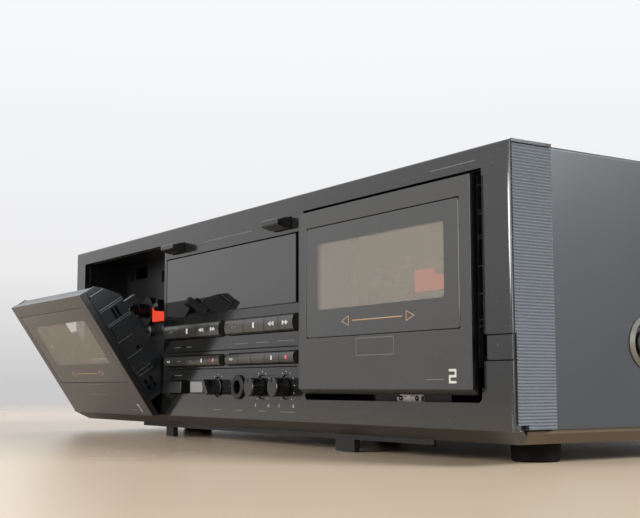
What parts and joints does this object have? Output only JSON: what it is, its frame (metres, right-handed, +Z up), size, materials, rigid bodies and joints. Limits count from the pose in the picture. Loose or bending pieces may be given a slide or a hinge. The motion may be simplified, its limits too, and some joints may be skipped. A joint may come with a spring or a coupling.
{
  "type": "cassette deck",
  "caption": "Full-width hi-fi cassette deck: tilting tape doors with cassette holders, key rows, display window, knobs and a folded steel case on round feet.",
  "frame": {"origin": "on the floor plane, under the middle of the whole object's box, with door A standing open", "axes": "+X to the right of a person facing the deck, +Y to the back, +Z up; the front panel faces -Y"},
  "size_m": [0.43, 0.3362, 0.1192],
  "materials": {
    "facia": "satin charcoal, fine texture",
    "cover_steel": "satin grey paint",
    "chassis_steel": "satin dark grey paint",
    "fluted_trim": "finely fluted grey moulding",
    "smoked_window": "polished smoked acrylic",
    "foot_rubber": "dull black",
    "dark_moulding": "dark blue-grey moulding",
    "black_moulding": "black moulding",
    "key_plastic": "satin grey",
    "pale_button": "light grey",
    "red_moulding": "orange-red",
    "bright_steel": "bright",
    "transformer": "varnished laminations",
    "circuit_board": "bare brown laminate"
  },
  "bodies": {
    "deck": {"bottom_chassis": "chassis_steel", "top_cover": "cover_steel", "rear_panel": "chassis_steel", "front_panel": "facia", "display_window": "smoked_window", "side_trim_left": "fluted_trim", "side_trim_right": "fluted_trim", "foot_front_left": "foot_rubber", "foot_front_right": "foot_rubber", "foot_rear_left": "foot_rubber", "foot_rear_right": "foot_rubber", "mechanism_frame_a": "dark_moulding", "mechanism_frame_b": "dark_moulding", "idler_cover_a": "red_moulding", "idler_cover_b": "red_moulding", "headphone_jack": "black_moulding", "line_jack_block": "black_moulding", "mains_inlet": "black_moulding", "main_board": "circuit_board", "power_transformer": "transformer", "cover_screw_left": "bright_steel", "cover_screw_right": "bright_steel"},
    "door_a": {"door_panel_a": "facia", "door_window_a": "smoked_window", "cassette_holder_a": "dark_moulding"},
    "door_b": {"door_panel_b": "facia", "door_window_b": "smoked_window", "cassette_holder_b": "dark_moulding"},
    "eject_tab_a": {"eject_tab_a": "dark_moulding"},
    "eject_tab_b": {"eject_tab_b": "dark_moulding"},
    "power_button": {"power_button": "black_moulding"},
    "timer_button": {"timer_button": "pale_button"},
    "noise_reduction_knob": {"noise_reduction_knob": "black_moulding"},
    "bias_knob": {"bias_knob": "black_moulding"},
    "level_knob": {"level_knob": "black_moulding"},
    "reel_spindle_a_left": {"reel_spindle_a_left": "dark_moulding"},
    "reel_spindle_a_right": {"reel_spindle_a_right": "dark_moulding"},
    "reel_spindle_b_left": {"reel_spindle_b_left": "dark_moulding"},
    "reel_spindle_b_right": {"reel_spindle_b_right": "dark_moulding"},
    "head_block_a": {"head_block_a": "black_moulding"},
    "head_block_b": {"head_block_b": "black_moulding"},
    "key_play_a": {"key_play_a": "key_plastic"},
    "key_stop_a": {"key_stop_a": "key_plastic"},
    "key_rewind_a": {"key_rewind_a": "key_plastic"},
    "key_forward_a": {"key_forward_a": "key_plastic"},
    "mode_key_a1": {"mode_key_a1": "key_plastic"},
    "mode_key_a2": {"mode_key_a2": "key_plastic"},
    "mode_key_a3": {"mode_key_a3": "key_plastic"},
    "mode_key_a4": {"mode_key_a4": "key_plastic"},
    "mode_key_a5": {"mode_key_a5": "key_plastic"},
    "key_play_b": {"key_play_b": "key_plastic"},
    "key_stop_b": {"key_stop_b": "key_plastic"},
    "key_rewind_b": {"key_rewind_b": "key_plastic"},
    "key_forward_b": {"key_forward_b": "key_plastic"},
    "mode_key_b1": {"mode_key_b1": "key_plastic"},
    "mode_key_b2": {"mode_key_b2": "key_plastic"},
    "mode_key_b3": {"mode_key_b3": "key_plastic"},
    "mode_key_b4": {"mode_key_b4": "key_plastic"},
    "mode_key_b5": {"mode_key_b5": "key_plastic"}
  },
  "joints": [
    {"name": "door_a_hinge", "type": "hinge", "parent": "deck", "child": "door_a", "pos_m": [-0.1367, -0.09698, 0.017], "axis": [-1, 0, 0], "range_deg": [0, 34]},
    {"name": "door_b_hinge", "type": "hinge", "parent": "deck", "child": "door_b", "pos_m": [0.1367, -0.09698, 0.017], "axis": [1, 0, 0], "range_deg": [0, 34]},
    {"name": "key_play_a_press", "type": "slide", "parent": "deck", "child": "key_play_a", "axis": [0, 1, 0], "range_m": [0, 0.002], "stiffness_N_per_m": 150},
    {"name": "key_stop_a_press", "type": "slide", "parent": "deck", "child": "key_stop_a", "axis": [0, 1, 0], "range_m": [0, 0.002], "stiffness_N_per_m": 150},
    {"name": "key_rewind_a_press", "type": "slide", "parent": "deck", "child": "key_rewind_a", "axis": [0, 1, 0], "range_m": [0, 0.002], "stiffness_N_per_m": 150},
    {"name": "key_forward_a_press", "type": "slide", "parent": "deck", "child": "key_forward_a", "axis": [0, 1, 0], "range_m": [0, 0.002], "stiffness_N_per_m": 150},
    {"name": "mode_key_a1_press", "type": "slide", "parent": "deck", "child": "mode_key_a1", "axis": [0, 1, 0], "range_m": [0, 0.0015], "stiffness_N_per_m": 150},
    {"name": "mode_key_a2_press", "type": "slide", "parent": "deck", "child": "mode_key_a2", "axis": [0, 1, 0], "range_m": [0, 0.0015], "stiffness_N_per_m": 150},
    {"name": "mode_key_a3_press", "type": "slide", "parent": "deck", "child": "mode_key_a3", "axis": [0, 1, 0], "range_m": [0, 0.0015], "stiffness_N_per_m": 150},
    {"name": "mode_key_a4_press", "type": "slide", "parent": "deck", "child": "mode_key_a4", "axis": [0, 1, 0], "range_m": [0, 0.0015], "stiffness_N_per_m": 150},
    {"name": "mode_key_a5_press", "type": "slide", "parent": "deck", "child": "mode_key_a5", "axis": [0, 1, 0], "range_m": [0, 0.0015], "stiffness_N_per_m": 150},
    {"name": "key_play_b_press", "type": "slide", "parent": "deck", "child": "key_play_b", "axis": [0, 1, 0], "range_m": [0, 0.002], "stiffness_N_per_m": 150},
    {"name": "key_stop_b_press", "type": "slide", "parent": "deck", "child": "key_stop_b", "axis": [0, 1, 0], "range_m": [0, 0.002], "stiffness_N_per_m": 150},
    {"name": "key_rewind_b_press", "type": "slide", "parent": "deck", "child": "key_rewind_b", "axis": [0, 1, 0], "range_m": [0, 0.002], "stiffness_N_per_m": 150},
    {"name": "key_forward_b_press", "type": "slide", "parent": "deck", "child": "key_forward_b", "axis": [0, 1, 0], "range_m": [0, 0.002], "stiffness_N_per_m": 150},
    {"name": "mode_key_b1_press", "type": "slide", "parent": "deck", "child": "mode_key_b1", "axis": [0, 1, 0], "range_m": [0, 0.0015], "stiffness_N_per_m": 150},
    {"name": "mode_key_b2_press", "type": "slide", "parent": "deck", "child": "mode_key_b2", "axis": [0, 1, 0], "range_m": [0, 0.0015], "stiffness_N_per_m": 150},
    {"name": "mode_key_b3_press", "type": "slide", "parent": "deck", "child": "mode_key_b3", "axis": [0, 1, 0], "range_m": [0, 0.0015], "stiffness_N_per_m": 150},
    {"name": "mode_key_b4_press", "type": "slide", "parent": "deck", "child": "mode_key_b4", "axis": [0, 1, 0], "range_m": [0, 0.0015], "stiffness_N_per_m": 150},
    {"name": "mode_key_b5_press", "type": "slide", "parent": "deck", "child": "mode_key_b5", "axis": [0, 1, 0], "range_m": [0, 0.0015], "stiffness_N_per_m": 150},
    {"name": "eject_tab_a_press", "type": "slide", "parent": "deck", "child": "eject_tab_a", "axis": [0, 1, 0], "range_m": [0, 0.0025], "stiffness_N_per_m": 200},
    {"name": "eject_tab_b_press", "type": "slide", "parent": "deck", "child": "eject_tab_b", "axis": [0, 1, 0], "range_m": [0, 0.0025], "stiffness_N_per_m": 200},
    {"name": "power_button_press", "type": "slide", "parent": "deck", "child": "power_button", "axis": [0, 1, 0], "range_m": [0, 0.003], "stiffness_N_per_m": 200},
    {"name": "timer_button_press", "type": "slide", "parent": "deck", "child": "timer_button", "axis": [0, 1, 0], "range_m": [0, 0.001], "stiffness_N_per_m": 200},
    {"name": "bias_knob_turn", "type": "hinge", "parent": "deck", "child": "bias_knob", "pos_m": [0.0375, -0.11758, 0.0288], "axis": [0, 1, 0], "range_deg": [-140, 140]},
    {"name": "level_knob_turn", "type": "hinge", "parent": "deck", "child": "level_knob", "pos_m": [0.06, -0.11758, 0.0288], "axis": [0, 1, 0], "range_deg": [-140, 140]},
    {"name": "noise_reduction_knob_turn", "type": "hinge", "parent": "deck", "child": "noise_reduction_knob", "pos_m": [-0.0082, -0.11758, 0.0288], "axis": [0, 1, 0], "range_deg": [0, 72]},
    {"name": "reel_spindle_a_left_spin", "type": "hinge", "parent": "deck", "child": "reel_spindle_a_left", "pos_m": [-0.15795, -0.08758, 0.078], "axis": [0, 1, 0], "continuous": true},
    {"name": "reel_spindle_a_right_spin", "type": "hinge", "parent": "deck", "child": "reel_spindle_a_right", "pos_m": [-0.11545, -0.08758, 0.078], "axis": [0, 1, 0], "continuous": true},
    {"name": "head_block_a_lift", "type": "slide", "parent": "deck", "child": "head_block_a", "axis": [0, 0, 1], "range_m": [0, 0.009]},
    {"name": "reel_spindle_b_left_spin", "type": "hinge", "parent": "deck", "child": "reel_spindle_b_left", "pos_m": [0.11545, -0.08758, 0.078], "axis": [0, 1, 0], "continuous": true},
    {"name": "reel_spindle_b_right_spin", "type": "hinge", "parent": "deck", "child": "reel_spindle_b_right", "pos_m": [0.15795, -0.08758, 0.078], "axis": [0, 1, 0], "continuous": true},
    {"name": "head_block_b_lift", "type": "slide", "parent": "deck", "child": "head_block_b", "axis": [0, 0, 1], "range_m": [0, 0.009]}
  ]
}
